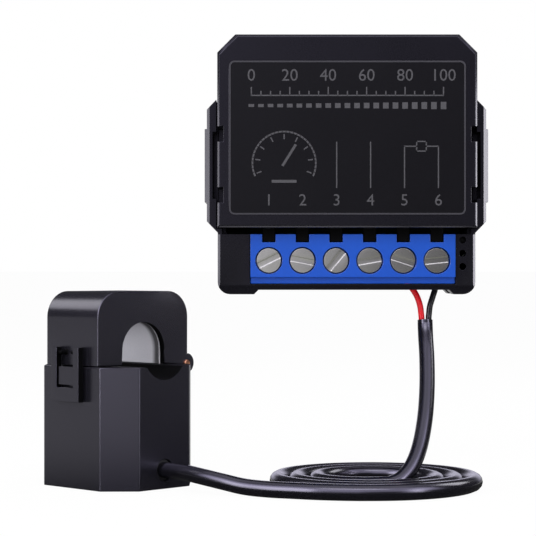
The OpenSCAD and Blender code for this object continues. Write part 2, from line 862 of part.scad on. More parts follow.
// Plug that grips the lead in the base's front wall
module cable_gland() color([0.08, 0.08, 0.09])
    on_clamp()
        difference() {
            union() {
                bar_y(0, exit_h, gland_y, gland_y + gland_l, 2 * gland_r);
                bar_y(0, exit_h, -base_d / 2 + shell + loose, -base_d / 2 + shell + loose + gland_flange_t,
                      2 * gland_flange_r);
            }
            block([-gland_flange_r - cut, -base_d, -cut], [gland_flange_r + cut, base_d, plate_t + loose]);
        }

// Lead: rings of points swept along a route

function unit(v) = v / norm(v);

function tangent(path, i) = unit(path[min(i + 1, len(path) - 1)] - path[max(i - 1, 0)]);

// Turns the ring's first spoke along the route so that the tube doesn't twist
function spokes(path, i = 0, last = [0, 0, 1]) = let (
    t = tangent(path, i),
    flat = last - t * (last * t),
    spoke = unit(norm(flat) < 0.01 ? cross(t, [0, 1, 0]) : flat)
) i == len(path) - 1 ? [spoke] : concat([spoke], spokes(path, i + 1, spoke));

module tube(path, d, sides) {
    rings = len(path);
    spoke = spokes(path);
    points = [
        for (i = [0:rings - 1], k = [0:sides - 1])
            let (a = 360 * (k + 0.5) / sides, side = cross(tangent(path, i), spoke[i]))
                path[i] + d / 2 * (cos(a) * spoke[i] + sin(a) * side)
    ];
    walls = [
        for (i = [0:rings - 2], k = [0:sides - 1])
            let (a = i * sides + k, b = i * sides + (k + 1) % sides)
                each [[a, a + sides, b], [b, a + sides, b + sides]]
    ];
    start = [for (k = [1:sides - 2]) [0, k, k + 1]];
    last = (rings - 1) * sides;
    end = [for (k = [1:sides - 2]) [last, last + k + 1, last + k]];
    polyhedron(points, concat(walls, start, end), convexity = 6);
}

function on_floor(p) = [p[0], p[1], p[2] + floor_z];

// A route whose points lie at shares of the way from one x to another
function across(from, to, route) = [for (p = route) on_floor([from + p[0] * (to - from), p[1], p[2]])];

// The last half turn is drawn further in, so that the lead can rise clear of the turns round it
coil_tuck = 1.6;
tuck_turns = 0.5;

function tuck(turn) = coil_tuck * pow(max(0, turn - coil_turns + tuck_turns) / tuck_turns, 2);

function coil_point(turn) = let (r = coil_r - coil_step * turn - tuck(turn), a = 360 * turn - 90)
    [coil_x + r * cos(a), coil_y + r * sin(a), floor_z + cord_d / 2];

// A small part of a turn, to find the coil's heading at its ends
nudge = 0.001;
heading_in = unit(coil_point(nudge) - coil_point(0));
heading_out = unit(coil_point(coil_turns) - coil_point(coil_turns - nudge));
coil_in = coil_point(0) - cord_d * heading_in;
coil_out = coil_point(coil_turns) + cord_d * heading_out;
coil_path = concat(
    [coil_in],
    [for (k = [0:coil_turns * coil_rings]) coil_point(k / coil_rings)],
    [coil_out]
);

// Least gap between one turn of the coil and the next, measured on the route's points
coil_gap = min([
    for (i = [0:len(coil_path) - 1], k = [i + coil_rings / 2:len(coil_path) - 1])
        norm(coil_path[i] - coil_path[k])
]) - cord_d;
echo(coil_gap = coil_gap);

module cord_from_clamp() color([0.09, 0.09, 0.1])
    tube(concat([at_clamp([0, gland_y, exit_h]), at_clamp([0, gland_y - cord_d, exit_h])],
                [for (p = route_from_clamp) on_floor(p)],
                [coil_in - lead_in * heading_in, coil_in]), cord_d, tube_sides);

module cord_coil() color([0.09, 0.09, 0.1])
    tube(coil_path, cord_d, coil_sides);

module cord_riser() color([0.09, 0.09, 0.1])
    tube(concat([coil_out, coil_out + lead_in * heading_out], across(coil_x, sheath_end[0], route_riser),
                [on_floor(sheath_end - [0, 0, lead_in]), on_floor(sheath_end)]), cord_d, tube_sides);

// A core runs from the sheath's end into the cage that grips it
module core_wire(i, side, route) {
    start = sheath_end + [side * core_split, 0, 0];
    x = terminal_x(i) + core_side;
    grip_y = strip_back_y + (core_d + loose) / 2;
    tube(concat([on_floor(start), on_floor(start + [0, 0, lead_in])], across(start[0], x, route),
                [[x, grip_y, cage_bottom_z - loose], [x, grip_y, cage_bottom_z + cage_h]]),
         core_d, tube_sides);
}

module wire_red() color([0.8, 0.1, 0.13])
    core_wire(terminals - 1, -1, route_red);

module wire_black() color([0.1, 0.1, 0.1])
    core_wire(terminals, 1, route_black);

rear_housing();
front_cover();
main_board();
terminal_block();
for (i = [1:terminals]) {
    terminal_screw(i);
    terminal_cage(i);
}
contact_strips();
wireless_board();
wireless_shield();
transformer_core();
transformer_winding();
bulk_capacitor();
filter_capacitor();
fusible_resistor();
bridge_rectifier();
metering_chip();
small_parts();
reset_switch();
reset_plunger();
status_light();
clamp_base();
base_plate();
clamp_jaw();
latch_loop();
hinge_pin();
upper_core();
lower_core();
core_spring();
bobbin();
winding();
cable_gland();
cord_from_clamp();
cord_coil();
cord_riser();
wire_red();
wire_black();
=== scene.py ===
"""Looks of the energy monitor: camera, lead, dressed pieces, print, finishes and studio."""

import json
from math import cos, hypot, pi, radians, sin

import bmesh
import bpy
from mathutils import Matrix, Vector

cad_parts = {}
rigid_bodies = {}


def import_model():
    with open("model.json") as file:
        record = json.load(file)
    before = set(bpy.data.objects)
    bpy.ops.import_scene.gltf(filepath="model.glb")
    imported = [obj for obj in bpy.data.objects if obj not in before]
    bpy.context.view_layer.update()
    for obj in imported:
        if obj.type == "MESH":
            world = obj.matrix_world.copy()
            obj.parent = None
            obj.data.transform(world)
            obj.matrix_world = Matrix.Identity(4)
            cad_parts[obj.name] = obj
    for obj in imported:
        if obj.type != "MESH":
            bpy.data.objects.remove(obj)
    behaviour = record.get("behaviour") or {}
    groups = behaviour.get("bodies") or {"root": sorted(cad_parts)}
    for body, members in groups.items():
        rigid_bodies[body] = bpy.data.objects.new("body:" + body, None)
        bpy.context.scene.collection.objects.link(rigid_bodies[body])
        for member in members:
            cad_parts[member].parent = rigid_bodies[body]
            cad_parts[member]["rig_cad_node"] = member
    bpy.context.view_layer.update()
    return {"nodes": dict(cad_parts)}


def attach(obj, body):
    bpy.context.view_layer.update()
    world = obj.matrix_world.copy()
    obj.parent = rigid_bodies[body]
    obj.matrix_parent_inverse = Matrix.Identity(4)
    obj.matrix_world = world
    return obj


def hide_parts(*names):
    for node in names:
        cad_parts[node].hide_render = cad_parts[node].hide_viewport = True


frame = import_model()

MM = 0.001
UPRIGHT = (radians(90), 0, 0)
FLOOR_Z = -56.85 * MM
FRONT_Y = -19 * MM
TERMINAL_X = [-13.9, -7.9, -1.9, 4.1, 10.1, 16.1]
CLAMP_PLACE = (-40.9, -15.4)
CLAMP_TURN = radians(46)
BORE_AXIS = Vector((-sin(CLAMP_TURN), cos(CLAMP_TURN), 0))
BORE_ACROSS = Vector((cos(CLAMP_TURN), sin(CLAMP_TURN), 0))

# Helpers


def select_only(obj):
    bpy.ops.object.select_all(action="DESELECT")
    obj.select_set(True)
    bpy.context.view_layer.objects.active = obj


def apply_modifier(obj, kind, **settings):
    select_only(obj)
    modifier = obj.modifiers.new(kind.lower(), kind)
    for name, value in settings.items():
        setattr(modifier, name, value)
    bpy.ops.object.modifier_apply(modifier=modifier.name)


def apply_place(obj):
    select_only(obj)
    bpy.ops.object.transform_apply(location=True, rotation=True, scale=True)


def smooth(obj, angle=35):
    select_only(obj)
    bpy.ops.object.shade_smooth_by_angle(angle=radians(angle))


def finish_piece(obj, name, material, body="module", replaced=()):
    obj.name = name
    obj.data.name = name
    obj.data.materials.clear()
    obj.data.materials.append(material)
    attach(obj, body)
    if replaced:
        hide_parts(*replaced)
    return obj


# Camera, square to the module's front

CAMERA_PLACE = (-14.05, -356.9, -18.34)
CAMERA_SENSOR = 36
CAMERA_LENS = 128.28
CAMERA_NEAR = 10


def add_camera():
    place = [v * MM for v in CAMERA_PLACE]
    bpy.ops.object.camera_add(location=place, rotation=UPRIGHT)
    camera = bpy.context.object
    camera.data.sensor_width = CAMERA_SENSOR
    camera.data.lens = CAMERA_LENS
    camera.data.clip_start = CAMERA_NEAR * MM
    bpy.context.scene.camera = camera


# Shader nodes


def feed(tree, value, socket):
    """Sets a socket to a number, or links another socket to it."""
    if isinstance(value, (int, float)):
        socket.default_value = value
    else:
        tree.links.new(value, socket)


def add_noise(tree, vector, scale, detail):
    noise = tree.nodes.new("ShaderNodeTexNoise")
    noise.inputs["Scale"].default_value = scale
    noise.inputs["Detail"].default_value = detail
    tree.links.new(vector, noise.inputs["Vector"])
    return noise.outputs["Fac"]


def add_range(tree, value, low, high, start=0.0, end=1.0):
    """Goes from low to high as the value goes from start to end."""
    node = tree.nodes.new("ShaderNodeMapRange")
    node.inputs["From Min"].default_value = start
    node.inputs["From Max"].default_value = end
    node.inputs["To Min"].default_value = low
    node.inputs["To Max"].default_value = high
    tree.links.new(value, node.inputs["Value"])
    return node.outputs["Result"]


def add_math(tree, kind, *values):
    node = tree.nodes.new("ShaderNodeMath")
    node.operation = kind
    for socket, value in zip(node.inputs, values):
        feed(tree, value, socket)
    return node.outputs[0]


def add_window(tree, value, limits, level, mask=1):
    """A soft-edged band of a value between four limits, at a level and within a mask."""
    a, b, c, d = limits
    rise = add_range(tree, value, 0, level, a, b)
    fall = add_range(tree, value, 1, 0, c, d)
    return add_math(tree, "MULTIPLY", add_math(tree, "MULTIPLY", rise, fall), mask)


def scale_colour(tree, colour, factor):
    node = tree.nodes.new("ShaderNodeVectorMath")
    node.operation = "SCALE"
    tree.links.new(colour, node.inputs[0])
    tree.links.new(factor, node.inputs["Scale"])
    return node.outputs[0]


def mix_shaders(tree, share, first, second):
    node = tree.nodes.new("ShaderNodeMixShader")
    for socket, value in zip(node.inputs, (share, first, second)):
        tree.links.new(value, socket)
    return node.outputs[0]


# Finishes

GRAIN_SCALE = 2500
GRAIN_DETAIL = 3
GRAIN_DEPTH = 0.05
SPECK = (0.94, 1.06)
MOTTLE_SCALE = 90
MOTTLE_DETAIL = 4


def surface_group():
    """Fine grain in the surface, and slow changes of tone and gloss over it."""
    group = bpy.data.node_groups.new("surface", "ShaderNodeTree")
    for label, kind, value in (
        ("Colour", "NodeSocketColor", (0.5, 0.5, 0.5, 1)),
        ("Roughness", "NodeSocketFloat", 0.5),
        ("Grain", "NodeSocketFloat", 0.1),
        ("Mottle", "NodeSocketFloat", 0.1),
    ):
        socket = group.interface.new_socket(label, in_out="INPUT", socket_type=kind)
        socket.default_value = value
    for label, kind in (
        ("Colour", "NodeSocketColor"),
        ("Roughness", "NodeSocketFloat"),
        ("Normal", "NodeSocketVector"),
    ):
        group.interface.new_socket(label, in_out="OUTPUT", socket_type=kind)
    given = group.nodes.new("NodeGroupInput").outputs
    result = group.nodes.new("NodeGroupOutput").inputs
    place = group.nodes.new("ShaderNodeTexCoord").outputs["Object"]
    fine = add_noise(group, place, GRAIN_SCALE, GRAIN_DETAIL)
    slow = add_range(group, add_noise(group, place, MOTTLE_SCALE, MOTTLE_DETAIL), -1, 1)
    tone = add_math(group, "MULTIPLY_ADD", slow, given["Mottle"], 1)
    shade = add_math(group, "MULTIPLY", tone, add_range(group, fine, *SPECK))
    group.links.new(scale_colour(group, given["Colour"], shade), result["Colour"])
    gloss = add_math(group, "MULTIPLY", given["Roughness"], tone)
    group.links.new(gloss, result["Roughness"])
    bump = group.nodes.new("ShaderNodeBump")
    bump.inputs["Distance"].default_value = GRAIN_DEPTH * MM
    group.links.new(given["Grain"], bump.inputs["Strength"])
    group.links.new(fine, bump.inputs["Height"])
    group.links.new(bump.outputs["Normal"], result["Normal"])
    return group


SURFACE = surface_group()


def finish(name, colour, roughness, grain=0.1, mottle=0.08, **principled):
    """A material of this colour and roughness, with other settings on the shader's own sockets."""
    material = bpy.data.materials.new(name)
    material.use_nodes = True
    tree = material.node_tree
    shader = tree.nodes["Principled BSDF"]
    surface = tree.nodes.new("ShaderNodeGroup")
    surface.node_tree = SURFACE
    surface.inputs["Colour"].default_value = (*colour, 1)
    surface.inputs["Roughness"].default_value = roughness
    surface.inputs["Grain"].default_value = grain
    surface.inputs["Mottle"].default_value = mottle
    tree.links.new(surface.outputs["Colour"], shader.inputs["Base Color"])
    tree.links.new(surface.outputs["Roughness"], shader.inputs["Roughness"])
    tree.links.new(surface.outputs["Normal"], shader.inputs["Normal"])
    for setting, value in principled.items():
        label = setting.replace("_", " ").title().replace("Ior", "IOR")
        shader.inputs[label].default_value = value
    return material


SHEEN = (0.86, 0.83, 1.0, 1)
HOUSING_BLACK = (0.0045, 0.0043, 0.006)
HOUSING = finish(
    "housing_plastic", HOUSING_BLACK, 0.24,
    grain=0.05, specular_ior_level=0.2, specular_tint=SHEEN,
)
TEXTURED = finish("moulded_texture", HOUSING_BLACK, 0.65, grain=0.3, specular_ior_level=0.15)
# Painted shade: a near-black, nearly glossless finish for faces that stand in shade: the cover's
# tabs, the bore's walls, the ears in the latch and the sides of the latch's legs.
PAINTED_SHADE = finish(
    "painted_shade_black", (0.0008, 0.0008, 0.0009), 0.7, grain=0.03, specular_ior_level=0.05
)
PANEL = finish("label_panel", (0.0036, 0.0034, 0.0046), 0.3, grain=0.03, specular_ior_level=0.12)
# Painted highlight: the raised line round the label is paler than the housing, where its edge
# catches the light.
FRAME_HIGHLIGHT = finish("painted_frame_highlight", (0.03, 0.029, 0.035), 0.5, grain=0.02, specular_ior_level=0.2)
PRINT = finish("label_print", (0.055, 0.054, 0.06), 0.6, grain=0.02, specular_ior_level=0.2)
TERMINAL = finish(
    "terminal_plastic", (0.0035, 0.06, 0.4), 0.3, grain=0.05, specular_ior_level=0.3
)
SCREW = finish("screw_nickel", (0.48, 0.48, 0.43), 0.17, grain=0.02, metallic=1.0)
CLAMP = finish(
    "clamp_plastic", (0.006, 0.0057, 0.0085), 0.26,
    grain=0.05, specular_ior_level=1.0, specular_tint=SHEEN,
)
CORE = finish("core_grey", (0.268, 0.264, 0.292), 0.75, specular_ior_level=0.1)
COPPER = finish("pin_copper", (0.62, 0.3, 0.18), 0.3, metallic=1.0)
GLAND = finish("gland_rubber", (0.012, 0.012, 0.013), 0.6)
PLUNGER = finish("plunger_rubber", (0.002, 0.002, 0.002), 0.6, specular_ior_level=0.1)
SHEATH = finish(
    "cord_sheath", (0.004, 0.0038, 0.0055), 0.22,
    grain=0.03, specular_ior_level=0.7, specular_tint=SHEEN,
)
RED = finish(
    "wire_red_insulation", (0.75, 0.008, 0.018), 0.3, grain=0.03, specular_ior_level=0.25
)
BLACK = finish(
    "wire_black_insulation", (0.005, 0.005, 0.006), 0.25, grain=0.03, specular_ior_level=0.3
)
INNER = {
    "terminal_cage": finish("cage_steel", (0.5, 0.47, 0.38), 0.35, metallic=1.0),
    "contact_strips": finish("contact_brass", (0.62, 0.45, 0.16), 0.32, metallic=1.0),
    "main_board": finish(
        "board_laminate", (0.003, 0.012, 0.007), 0.5, mottle=0.2, specular_ior_level=0.1
    ),
    "wireless_board": finish("wireless_laminate", (0.01, 0.03, 0.07), 0.4, mottle=0.2),
    "wireless_shield": finish("shield_tin", (0.6, 0.6, 0.62), 0.3, metallic=1.0),
    "transformer_core": finish("transformer_ferrite", (0.03, 0.03, 0.032), 0.6, grain=0.3),
    "lower_core": finish("lower_ferrite", (0.07, 0.07, 0.075), 0.6, grain=0.3),
    "transformer_winding": finish("winding_tape", (0.7, 0.5, 0.04), 0.4),
    "bulk_capacitor": finish("capacitor_sleeve", (0.02, 0.02, 0.05), 0.3),
    "filter_capacitor": finish("film_box", (0.65, 0.42, 0.05), 0.4),
    "fusible_resistor": finish("resistor_lacquer", (0.1, 0.3, 0.18), 0.5),
    "bridge_rectifier": finish("rectifier_epoxy", (0.012, 0.012, 0.012), 0.5),
    "metering_chip": finish("chip_epoxy", (0.014, 0.014, 0.015), 0.45),
    "small_parts": finish("small_ceramic", (0.3, 0.2, 0.12), 0.5),
    "reset_switch": finish("switch_shell", (0.45, 0.45, 0.45), 0.35, metallic=1.0),
    "status_light": finish("light_lens", (0.6, 0.7, 0.6), 0.25),
    "core_spring": finish("spring_steel", (0.5, 0.5, 0.5), 0.28, metallic=1.0),
    "bobbin": finish("bobbin_nylon", (0.7, 0.7, 0.64), 0.5),
    "winding": finish("winding_copper", (0.6, 0.26, 0.1), 0.35, metallic=1.0),
}

# Painted shade band on the core: its start and end along the bore, its darkness, its soft front
# edge and its fade back to grey.
CORE_SHADE_BAND = (-5.2, -4.6)
BAND_SHADE = 0.12
BAND_EDGE = 0.1
BAND_FADE = 1.2


def band_core():
    """Painted shade: a dark band round the inside of the core's mouth, just behind its front edge,
    where the bore's wall is in shade; the front edge and the core further in keep their own grey.
    """
    tree = CORE.node_tree
    shader = tree.nodes["Principled BSDF"]
    colour = shader.inputs["Base Color"].links[0].from_socket
    along = tree.nodes.new("ShaderNodeVectorMath")
    along.operation = "DOT_PRODUCT"
    place = tree.nodes.new("ShaderNodeTexCoord").outputs["Object"]
    tree.links.new(place, along.inputs[0])
    along.inputs[1].default_value = BORE_AXIS
    depth = along.outputs["Value"]
    middle = Vector((*CLAMP_PLACE, 0)).dot(BORE_AXIS)
    front, back = (middle + y for y in CORE_SHADE_BAND)
    shade_from_front = add_range(tree, depth, 1, BAND_SHADE, (front - BAND_EDGE) * MM, front * MM)
    inside = add_range(tree, depth, 0, 1, back * MM, (back + BAND_FADE) * MM)
    shade = add_math(tree, "MAXIMUM", shade_from_front, inside)
    tree.links.new(scale_colour(tree, colour, shade), shader.inputs["Base Color"])


def dress_inner():
    """Gives the pieces inside the cases, which stay as CAD nodes, their finishes."""
    for name, node in frame["nodes"].items():
        key = "terminal_cage" if name.startswith("terminal_cage") else name
        if key in INNER:
            node.data.materials.clear()
            node.data.materials.append(INNER[key])
            smooth(node)


# Moulded pieces: copies of the CAD nodes with broken edges

SHARP = radians(32)
FLAT = radians(0.5)
MERGE = 0.001 * MM
TOP_FACING = 0.9
LEG_FACING = -0.9
WALL_FACING = 0.5
TAB_TOP = -11.25 * MM
LINE_RISE = 0.12 * MM
EAR_SIDE = -10.72 * MM
EAR_FOOT = -2.6 * MM
BORE_Z = FLOOR_Z + 24 * MM
BORE_REACH = 5.75 * MM


def mark_edges(obj, shortest):
    """Gives a bevel weight to the sharp edges that are at least this long."""
    mesh = bmesh.new()
    mesh.from_mesh(obj.data)
    weight = mesh.edges.layers.float.new("bevel_weight_edge")
    for edge in mesh.edges:
        if len(edge.link_faces) == 2 and edge.calc_length() >= shortest:
            edge[weight] = float(edge.calc_face_angle() > SHARP)
    mesh.to_mesh(obj.data)
    mesh.free()


def dressed(node, material, body="module", edge=0.1, segments=2, shortest=0.0):
    """A copy of a CAD node that stands for it, with its sharp edges broken."""
    select_only(frame["nodes"][node])
    bpy.ops.object.duplicate()
    obj = bpy.context.object
    del obj["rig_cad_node"]
    bpy.ops.object.mode_set(mode="EDIT")
    bpy.ops.mesh.select_all(action="SELECT")
    bpy.ops.mesh.remove_doubles(threshold=MERGE)
    bpy.ops.mesh.customdata_custom_splitnormals_clear()
    bpy.ops.mesh.dissolve_limited(angle_limit=FLAT)
    bpy.ops.object.mode_set(mode="OBJECT")
    mark_edges(obj, shortest * MM)
    apply_modifier(
        obj,
        "BEVEL",
        width=edge * MM,
        segments=segments,
        limit_method="WEIGHT",
        use_clamp_overlap=False,
    )
    smooth(obj)
    apply_modifier(obj, "WEIGHTED_NORMAL", keep_sharp=True)
    return finish_piece(obj, f"{node}_finished", material, body, [node])


def finish_cover(cover):
    """Painted shade on the cover's tabs, which are near black for the dark notches they sit in,
    and a painted highlight on the raised line round the label, which is paler.
    """
    cover.data.materials.append(PAINTED_SHADE)
    cover.data.materials.append(FRAME_HIGHLIGHT)
    for face in cover.data.polygons:
        # Faces below the tabs' top get the painted shade; faces standing proud of the front get
        # the painted highlight.
        if face.center.z < TAB_TOP:
            face.material_index = 1
        elif face.center.y < FRONT_Y - LINE_RISE / 2:
            face.material_index = 2


def darken_hollows(piece):
    """Painted shade: the bore's own walls and the ears inside the latch are near black, for the
    shade that falls in them.
    """
    piece.data.materials.append(PAINTED_SHADE)
    middle = Vector((CLAMP_PLACE[0] * MM, CLAMP_PLACE[1] * MM, BORE_Z))
    for face in piece.data.polygons:
        offset = face.center - middle
        side = offset.dot(BORE_ACROSS)
        # Masks for the painted shade: walls of the bore near its middle, and the ears beside the
        # latch.
        is_wall = abs(face.normal.dot(BORE_AXIS)) < WALL_FACING
        in_bore = is_wall and hypot(side, offset.z) < BORE_REACH
        on_ear = side < EAR_SIDE and offset.z > EAR_FOOT
        face.material_index = int(in_bore or on_ear)


def darken_latch(latch):
    """Painted shadow: the sides of the latch's legs that look along the bore are near black, for
    the shadow beside the legs.
    """
    latch.data.materials.append(PAINTED_SHADE)
    for face in latch.data.polygons:
        face.material_index = int(face.normal.dot(BORE_AXIS) < LEG_FACING)


def texture_top(piece):
    """Faces that look straight up have a fine moulded texture."""
    piece.data.materials.append(TEXTURED)
    last = len(piece.data.materials) - 1
    for face in piece.data.polygons:
        if face.material_index == 0 and face.normal.z > TOP_FACING:
            face.material_index = last


def add_moulded_pieces():
    housing = dressed("rear_housing", HOUSING, edge=0.04)
    cover = dressed(
        "front_cover", HOUSING, edge=0.12, segments=3, shortest=0.6
    )
    dressed("terminal_block", TERMINAL)
    base = dressed("clamp_base", CLAMP, edge=0.2, shortest=5)
    dressed("base_plate", CLAMP)
    jaw = dressed("clamp_jaw", CLAMP, "jaw", edge=0.2, shortest=0.45)
    latch = dressed("latch_loop", CLAMP, "latch", edge=0.12, shortest=2)
    dressed("upper_core", CORE, "jaw")
    dressed("hinge_pin", COPPER)
    dressed("cable_gland", GLAND)
    dressed("reset_plunger", PLUNGER, "plunger", edge=0.05)
    for i in range(1, len(TERMINAL_X) + 1):
        dressed(f"terminal_screw_{i}", SCREW, f"screw_{i}", edge=0.08)
    # Painted shade on the cover's tabs, the bore, the ears and the latch's legs, and a painted
    # highlight on the label's raised line.
    finish_cover(cover)
    darken_hollows(base)
    darken_hollows(jaw)
    darken_latch(latch)
    for piece in (housing, cover, base, jaw):
        texture_top(piece)


# Label: a plain panel with a printed scale, dial and terminal leaders

PANEL_W = 41.3
PANEL_H = 26.65
PANEL_Z = 4.725
PANEL_T = 0.02
PANEL_CORNER = 0.7
PRINT_T = 0.015
LINE = 0.22


def add_panel():
    place = (0, FRONT_Y, PANEL_Z * MM)
    bpy.ops.mesh.primitive_plane_add(size=1, location=place, rotation=UPRIGHT)
    panel = bpy.context.object
    panel.scale = (PANEL_W * MM, PANEL_H * MM, 1)
    apply_place(panel)
    bpy.ops.object.mode_set(mode="EDIT")
    bpy.ops.mesh.select_all(action="SELECT")
    bpy.ops.mesh.bevel(offset=PANEL_CORNER * MM, segments=6, affect="VERTICES")
    bpy.ops.object.mode_set(mode="OBJECT")
    apply_modifier(panel, "SOLIDIFY", thickness=PANEL_T * MM, offset=1)
    finish_piece(panel, "label_panel", PANEL)


def print_place(x, z):
    return (x * MM, FRONT_Y - (PANEL_T + PRINT_T / 2) * MM, z * MM)


def print_bar(x, z, length, turn=0.0, width=LINE):
    """A printed line about its middle, along X before it is turned in the label's plane."""
    turned = (0, -radians(turn), 0)
    bpy.ops.mesh.primitive_cube_add(size=1, location=print_place(x, z), rotation=turned)
    bar = bpy.context.object
    bar.scale = (length * MM, PRINT_T * MM, width * MM)
    apply_place(bar)
    return bar


def print_number(text, x, z, size):
    bpy.ops.object.text_add(location=print_place(x, z), rotation=UPRIGHT)
    number = bpy.context.object
    number.data.body = text
    number.data.size = size * MM
    number.data.extrude = PRINT_T / 2 * MM
    number.data.resolution_u = 3
    number.data.align_x = "CENTER"
    number.data.align_y = "CENTER"
    bpy.ops.object.convert(target="MESH")
    apply_place(number)
    return number


def printed_scale():
    """A scale from 0 to 100, over a row of bars that grow taller to the right."""
    line_z, number_z, row_z = 12.2, 15.7, 10.4
    steps, pitch, major = 20, 1.7, 4
    tall, short, number_size = 1.5, 0.8, 3.0
    bar_width, bar_height, bar_growth = 1.0, 0.5, 0.04
    reach = steps * pitch
    marks = [print_bar(0, line_z, reach + LINE)]
    for k in range(steps + 1):
        x = pitch * k - reach / 2
        numbered = k % major == 0
        height = tall if numbered else short
        marks.append(print_bar(x, line_z + height / 2, height, turn=90))
        if numbered:
            marks.append(print_number(str(100 * k // steps), x, number_z, number_size))
        bar = bar_height + bar_growth * k
        marks.append(print_bar(x, row_z, bar, turn=90, width=bar_width))
    return marks


def printed_dial():
    """An arc with ticks inside it, a needle and a short line below."""
    x0, z0, radius = -11.2, 0.2, 5.6
    start, sweep, steps, tick_every = 200, 220, 32, 4
    arc_width, tick_place, tick_length = 0.3, 0.84, 0.9
    needle, needle_place, needle_length, needle_width = 58, 0.3, 0.8, 0.45
    foot_drop, foot_length, foot_width = 3.2, 4.4, 0.5

    def mark(angle, share, length, turn, width=LINE):
        r, a = share * radius, radians(angle)
        return print_bar(x0 + r * cos(a), z0 + r * sin(a), length, turn, width)

    marks = []
    chord = 2 * radius * sin(radians(sweep / steps / 2)) + LINE / 2
    for k in range(steps + 1):
        angle = start - sweep * k / steps
        marks.append(mark(angle, 1, chord, angle - 90, arc_width))
        if k % tick_every == 0:
            marks.append(mark(angle, tick_place, tick_length, angle))
    marks.append(mark(needle, needle_place, needle_length * radius, needle, needle_width))
    marks.append(print_bar(x0, z0 - foot_drop, foot_length, width=foot_width))
    return marks


def printed_leaders():
    """Numbers over the terminals, lines up from 3 and 4, and a small square between 5 and 6."""
    number_z, number_size = -6.4, 2.9
    bottom, top, square_z, square = -4.2, 4.0, 3.2, 1.7
    marks = [print_number(str(i), x, number_z, number_size) for i, x in enumerate(TERMINAL_X, 1)]
    for x in TERMINAL_X[2:4]:
        marks.append(print_bar(x, (top + bottom) / 2, top - bottom, turn=90))
    left, right = TERMINAL_X[4:]
    middle = (left + right) / 2
    reach = (right - left - square) / 2
    for x, side in ((left, 1), (right, -1)):
        marks.append(print_bar(x, (square_z + bottom) / 2, square_z - bottom, turn=90))
        marks.append(print_bar(x + side * reach / 2, square_z, reach + LINE))
    for angle in (0, 90, 180, 270):
        x = middle + square / 2 * cos(radians(angle))
        z = square_z + square / 2 * sin(radians(angle))
        marks.append(print_bar(x, z, square + LINE, angle + 90))
    return marks


def add_print():
    marks = [*printed_scale(), *printed_dial(), *printed_leaders()]
    bpy.ops.object.select_all(action="DESELECT")
    for mark in marks:
        mark.select_set(True)
    bpy.context.view_layer.objects.active = marks[0]
    bpy.ops.object.join()
    finish_piece(marks[0], "label_print", PRINT)


# Lead: heights in its routes are above the floor

CORD_D = 2.8
CORE_D = 1.1
CORE_STEPS = 6
EXIT_H = 3.3
GLAND_Y = -11.85
COIL_PLACE = (4, -22.5)
COIL_TURNS = 3
COIL_STEPS = 72
COIL_R = 18.8
COIL_PITCH = 3.25
COIL_TUCK = 1.6
TUCK_TURNS = 0.5
NUDGE = 0.001
SHEATH_END = (14.6, -8.6, 29)
ROUTE_FROM_CLAMP = [
    (-28, -27.9, 3.2), (-25, -30.6, 2.8), (-21.5, -32.8, 2.2), (-18, -34.6, 1.6),
    (-14, -36.6, 1.4), (-10, -38.4, 1.4), (-6, -40, 1.4), (-2, -41, 1.4),
]
ROUTE_RISER = [
    (8.8, -28.6, 2.2), (10.8, -26.8, 4.2), (12.4, -24, 7.4), (13.6, -20.4, 12),
    (14.3, -16.4, 17), (14.6, -12.6, 22), (14.6, -9.8, 26), (14.6, -8.8, 28),
]
ROUTE_RED = [
    (13.95, -8.6, 29), (13.95, -8.6, 29.5), (13.9, -8.5, 30), (13.7, -8.4, 31.6),
    (13.2, -8.2, 33.2), (12.4, -8, 34.6), (11.5, -7.9, 35.7), (10.8, -7.9, 36.7),
    (10.5, -8.1, 37.4), (10.5, -8.15, 37.85), (10.5, -8.15, 42.25),
]
ROUTE_BLACK = [
    (15.25, -8.6, 29), (15.25, -8.6, 29.5), (15.3, -8.5, 30), (15.5, -8.4, 31.6),
    (16, -8.2, 33.2), (16.5, -8, 34.8), (16.6, -7.9, 36), (16.5, -8.1, 37.4),
    (16.5, -8.15, 37.85), (16.5, -8.15, 42.25),
]


def at_clamp(y, height):
    """A point on the clamp's middle line, y along the bore from the clamp's place."""
    x0, y0 = CLAMP_PLACE
    return (x0 - y * sin(CLAMP_TURN), y0 + y * cos(CLAMP_TURN), height)


def coil_point(turn):
    tucked = COIL_TUCK * (max(0, turn - COIL_TURNS + TUCK_TURNS) / TUCK_TURNS) ** 2
    r = COIL_R - COIL_PITCH * turn - tucked
    angle = 2 * pi * turn - pi / 2
    x0, y0 = COIL_PLACE
    return Vector((x0 + r * cos(angle), y0 + r * sin(angle), CORD_D / 2))


def curved(points, steps=10):
    """A smooth line through the points, with a few steps between each two."""
    points = [Vector(p) for p in points]
    ends = [2 * points[0] - points[1], *points, 2 * points[-1] - points[-2]]
    line = []
    for a, b, c, d in zip(ends, ends[1:], ends[2:], ends[3:]):
        square = 2 * a - 5 * b + 4 * c - d
        cube = 3 * b - a - 3 * c + d
        for k in range(steps):
            t = k / steps
            line.append(0.5 * (2 * b + (c - a) * t + square * t**2 + cube * t**3))
    return [*line, points[-1]]


def lead_route():
    coil = [coil_point(k / COIL_STEPS) for k in range(COIL_TURNS * COIL_STEPS + 1)]
    first = (coil_point(NUDGE) - coil[0]).normalized()
    last = (coil[-1] - coil_point(COIL_TURNS - NUDGE)).normalized()
    out_of_gland = [at_clamp(GLAND_Y, EXIT_H), at_clamp(GLAND_Y - CORD_D, EXIT_H)]
    before = [*out_of_gland, *ROUTE_FROM_CLAMP, coil[0] - CORD_D * first]
    after = [coil[-1] + CORD_D * last, *ROUTE_RISER, SHEATH_END]
    return [*curved(before), *coil, *curved(after)]


